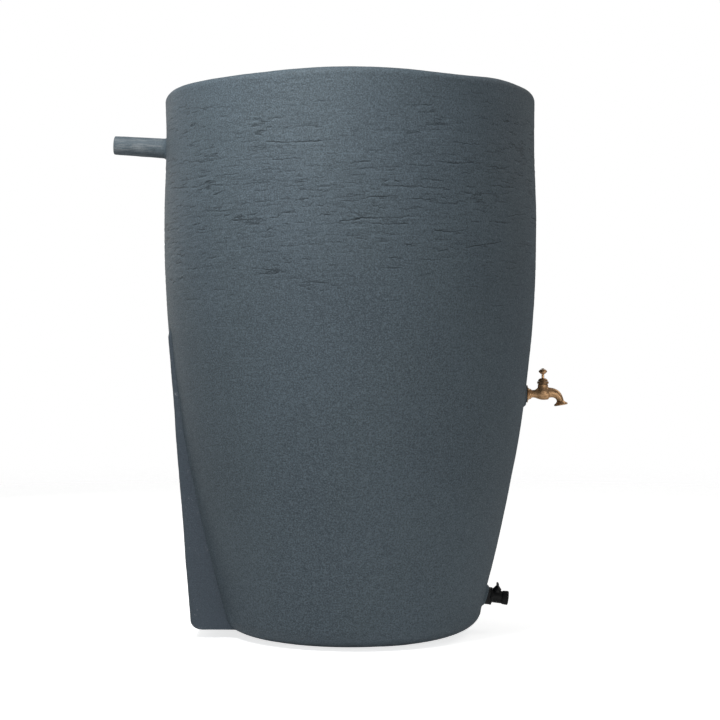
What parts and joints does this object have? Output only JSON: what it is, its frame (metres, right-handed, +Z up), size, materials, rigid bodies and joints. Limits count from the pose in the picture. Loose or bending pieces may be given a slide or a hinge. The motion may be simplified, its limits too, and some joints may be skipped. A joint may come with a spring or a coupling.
{
  "type": "rain barrel",
  "caption": "Free-standing round rain barrel with a flat back panel, screened dished top, overflow stub, brass garden tap and quarter-turn drain valve.",
  "frame": {"origin": "on the ground at the urn's vertical axis", "axes": "+Z up along the urn's axis, +X towards the tap and the drain valve, -X towards the flat back panel and the overflow stub"},
  "size_m": [0.8392, 0.683, 0.98],
  "materials": {
    "shell_plastic": "grained moulded polyethylene, slate grey",
    "screen_plastic": "moulded, dark grey",
    "screen_weave": "woven wire",
    "brass": "sand-cast, dulled",
    "turned_brass": "machined",
    "black_plastic": "moulded, satin black",
    "rubber": "matte",
    "white_seal": "waxy white"
  },
  "bodies": {
    "barrel": {"barrel_shell": "shell_plastic", "tap_body": "brass", "tap_wall_flange": "turned_brass", "tap_outer_gasket": "rubber", "tap_inner_gasket": "rubber", "tap_locknut": "brass", "tap_bonnet": "turned_brass", "tap_bonnet_washer": "rubber", "tap_gland_packing": "white_seal", "tap_gland_nut": "brass", "drain_body": "black_plastic", "drain_outer_gasket": "rubber", "drain_inner_gasket": "rubber", "drain_locknut": "black_plastic", "drain_seat_inner": "white_seal", "drain_seat_outer": "white_seal", "drain_retainer": "black_plastic", "drain_outlet_collar": "black_plastic", "drain_stem_seal": "rubber"},
    "inlet_screen": {"screen_frame": "screen_plastic", "screen_mesh": "screen_weave"},
    "tap_valve": {"tap_jumper": "turned_brass", "tap_washer": "rubber", "tap_washer_nut": "turned_brass"},
    "tap_turner": {"tap_spindle": "turned_brass", "tap_handle": "brass", "tap_handle_screw": "turned_brass"},
    "drain_turner": {"drain_ball": "white_seal", "drain_stem": "black_plastic", "drain_handle": "black_plastic"}
  },
  "joints": [
    {"name": "screen_lift", "type": "slide", "parent": "barrel", "child": "inlet_screen", "axis": [0, 0, 1], "range_m": [0, 0.12]},
    {"name": "tap_rise", "type": "slide", "parent": "barrel", "child": "tap_valve", "axis": [0, 0, 1], "range_m": [0, 0.00376]},
    {"name": "tap_handle_turn", "type": "hinge", "parent": "tap_valve", "child": "tap_turner", "pos_m": [0.3565, 0, 0.45], "axis": [0, 0, 1], "range_deg": [0, 540]},
    {"name": "drain_handle_turn", "type": "hinge", "parent": "barrel", "child": "drain_turner", "pos_m": [0.27006, 0, 0.06098], "axis": [0.1219, 0, 0.9925], "range_deg": [0, 90]}
  ],
  "couplings": [
    {"joint": "tap_rise", "follows": "tap_handle_turn", "m_per_rad": 0.00039789}
  ]
}
